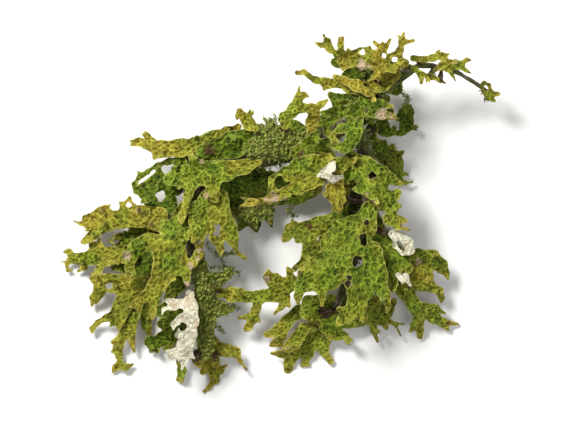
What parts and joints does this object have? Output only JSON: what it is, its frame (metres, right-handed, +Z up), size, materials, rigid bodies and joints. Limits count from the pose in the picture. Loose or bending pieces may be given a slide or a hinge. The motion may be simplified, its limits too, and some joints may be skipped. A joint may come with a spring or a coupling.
{
  "type": "lichen on a twig",
  "caption": "Heap of leafy, net-ridged green lichen lobes growing on a forked mossy twig, picked and lying on a flat surface.",
  "frame": {"origin": "centre of the bounding box's bottom face, on the surface that the heap lies on", "axes": "+Z up from the surface through the heap; +X along its longest side, towards the lone lobe at the twig's tip; +Y towards the crown of lobes at the twig's upper end"},
  "size_m": [0.2206, 0.1808, 0.044],
  "materials": {
    "lobe_green": "leathery upper skin, net-ridged, yellow green to dark green, matt with a slight damp sheen",
    "lobe_pale": "felted cream underside of a turned-over lobe, matt",
    "moss_green": "dark green moss cushion, matt",
    "twig_bark": "rough brown bark, matt"
  },
  "bodies": {
    "root": {"lobe_antler": "lobe_green", "lobe_arch": "lobe_green", "lobe_centre": "lobe_green", "lobe_corner_olive": "lobe_green", "lobe_crown": "lobe_green", "lobe_crown_fingers": "lobe_green", "lobe_far_tip": "lobe_green", "lobe_finger_left": "lobe_green", "lobe_finger_yellow": "lobe_green", "lobe_foot_claw": "lobe_green", "lobe_hanging_yellow": "lobe_green", "lobe_hem": "lobe_green", "lobe_left_back": "lobe_green", "lobe_left_dark": "lobe_green", "lobe_left_golden": "lobe_green", "lobe_left_great": "lobe_green", "lobe_left_hand": "lobe_green", "lobe_left_hanging": "lobe_green", "lobe_lower_left_dark": "lobe_green", "lobe_lower_left_long": "lobe_green", "lobe_middle_back": "lobe_green", "lobe_middle_pointer": "lobe_green", "lobe_pale_left": "lobe_pale", "lobe_pale_right": "lobe_pale", "lobe_pale_strip": "lobe_pale", "lobe_ridge_arm": "lobe_green", "lobe_ridge_back": "lobe_green", "lobe_ridge_broad": "lobe_green", "lobe_ridge_middle": "lobe_green", "lobe_ridge_top": "lobe_green", "lobe_ridge_under": "lobe_green", "lobe_right_back": "lobe_green", "lobe_right_dark": "lobe_green", "lobe_right_great": "lobe_green", "lobe_right_hand": "lobe_green", "lobe_right_inner": "lobe_green", "lobe_right_ragged": "lobe_green", "lobe_right_ridge": "lobe_green", "lobe_right_top": "lobe_green", "lobe_right_top_low": "lobe_green", "lobe_star": "lobe_green", "lobe_stem_foot": "lobe_green", "lobe_tail_brown": "lobe_green", "lobe_tail_green": "lobe_green", "lobe_tail_left": "lobe_green", "lobe_tan_fold": "lobe_green", "lobe_under_crown": "lobe_green", "lobe_upper_left": "lobe_green", "moss_ridge": "moss_green", "moss_stem": "moss_green", "moss_underhang": "moss_green", "twig_branch_left": "twig_bark", "twig_branch_right": "twig_bark", "twig_stem": "twig_bark", "twig_tip": "twig_bark"}
  },
  "joints": []
}
